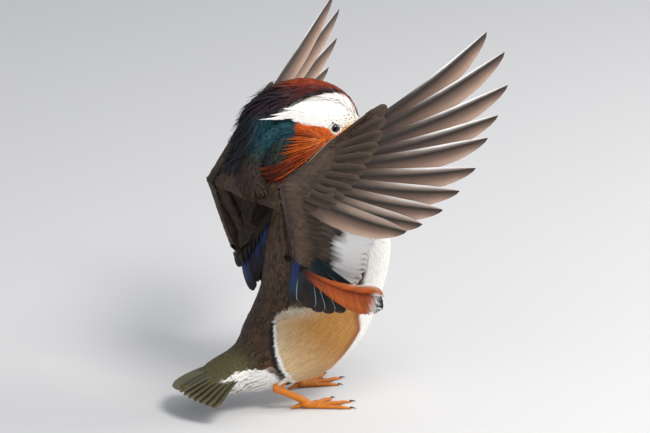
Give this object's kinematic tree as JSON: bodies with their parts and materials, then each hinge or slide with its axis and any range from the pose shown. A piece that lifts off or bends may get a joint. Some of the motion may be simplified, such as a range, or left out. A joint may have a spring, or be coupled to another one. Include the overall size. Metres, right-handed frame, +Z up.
{
  "type": "mandarin duck model",
  "caption": "Life-size still model of a drake mandarin duck rearing up on its webbed feet with both wings spread, crest raised and tail fanned.",
  "frame": {"origin": "on the floor under the middle of the whole bird's box", "axes": "+Z up, the bird faces -Y, its right side is towards -X"},
  "size_m": [0.3258, 0.2744, 0.3748],
  "materials": {
    "body_plumage": "olive brown back, golden flanks and white belly feathers, matt",
    "neck_plumage": "chestnut and dark purple feathers, soft",
    "head_plumage": "copper crest, white brow and orange cheek feathers, silky",
    "wing_plumage": "brown flight feathers with silvery outer edges and a blue green patch",
    "tail_plumage": "olive brown feathers",
    "bill": "red horn, satin, with a pale nail",
    "eye": "dark brown, polished",
    "leg_skin": "orange scaled skin with dusky webs"
  },
  "bodies": {
    "root": {"torso": "body_plumage", "neck": "neck_plumage", "head": "head_plumage", "bill_upper": "bill", "bill_lower": "bill", "tail": "tail_plumage", "eye_right": "eye", "eye_left": "eye", "wing_right_upper": "body_plumage", "wing_right_forearm": "wing_plumage", "wing_right_hand": "wing_plumage", "wing_left_upper": "body_plumage", "wing_left_forearm": "wing_plumage", "wing_left_hand": "wing_plumage", "leg_right": "leg_skin", "leg_left": "leg_skin", "foot_right": "leg_skin", "foot_left": "leg_skin"}
  },
  "joints": []
}
